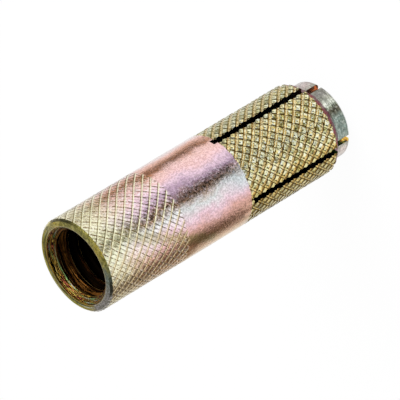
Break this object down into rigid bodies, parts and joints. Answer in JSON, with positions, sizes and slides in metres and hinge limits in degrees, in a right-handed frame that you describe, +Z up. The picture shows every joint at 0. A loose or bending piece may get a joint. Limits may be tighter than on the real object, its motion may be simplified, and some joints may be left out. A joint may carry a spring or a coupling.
{
  "type": "drop-in anchor",
  "caption": "Knurled and cross-slotted expansion sleeve with an internal thread at its mouth and a captive tapered plug in its bore.",
  "frame": {"origin": "centre of the slotted tip face, on which the anchor stands", "axes": "+Z up the anchor's axis from the slotted tip to the threaded mouth; the deeper saw cut lies along X, the other along Y"},
  "size_m": [0.012, 0.012, 0.04],
  "materials": {
    "yellow_zinc": "yellow-passivated zinc plating, iridescent",
    "plain_steel": "plain turned steel"
  },
  "bodies": {
    "sleeve": {"anchor_sleeve": "yellow_zinc"},
    "plug": {"expander_plug": "plain_steel"}
  },
  "joints": [
    {"name": "plug_drive", "type": "slide", "parent": "sleeve", "child": "plug", "axis": [0, 0, -1], "range_m": [0, 0.004]}
  ]
}
